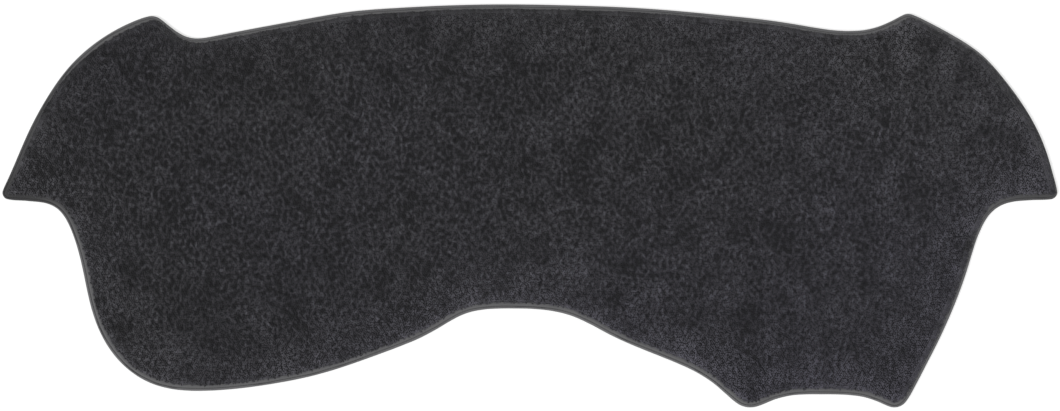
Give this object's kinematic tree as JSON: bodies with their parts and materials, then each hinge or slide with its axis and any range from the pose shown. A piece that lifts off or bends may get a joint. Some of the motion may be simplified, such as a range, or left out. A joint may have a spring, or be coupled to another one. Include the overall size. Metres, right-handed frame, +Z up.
{
  "type": "dashboard cover mat",
  "caption": "Flat cut-pile carpet mat shaped to lie over the top of a vehicle dashboard, its raw edge bound all round with folded fabric tape.",
  "frame": {"origin": "on the underside, in the middle of the mat's length and depth", "axes": "+X along the dashboard, +Y towards the windscreen, +Z up out of the pile"},
  "size_m": [1.45, 0.554, 0.0055],
  "materials": {
    "pile_carpet": "charcoal short cut pile, soft and matt",
    "binding_tape": "grey woven tape, matt with a slight sheen at the fold",
    "seam_thread": "dark grey sewing thread",
    "carpet_backing": "dark felted underside"
  },
  "bodies": {
    "root": {"carpet_panel": "pile_carpet", "edge_binding": "binding_tape"}
  },
  "joints": []
}
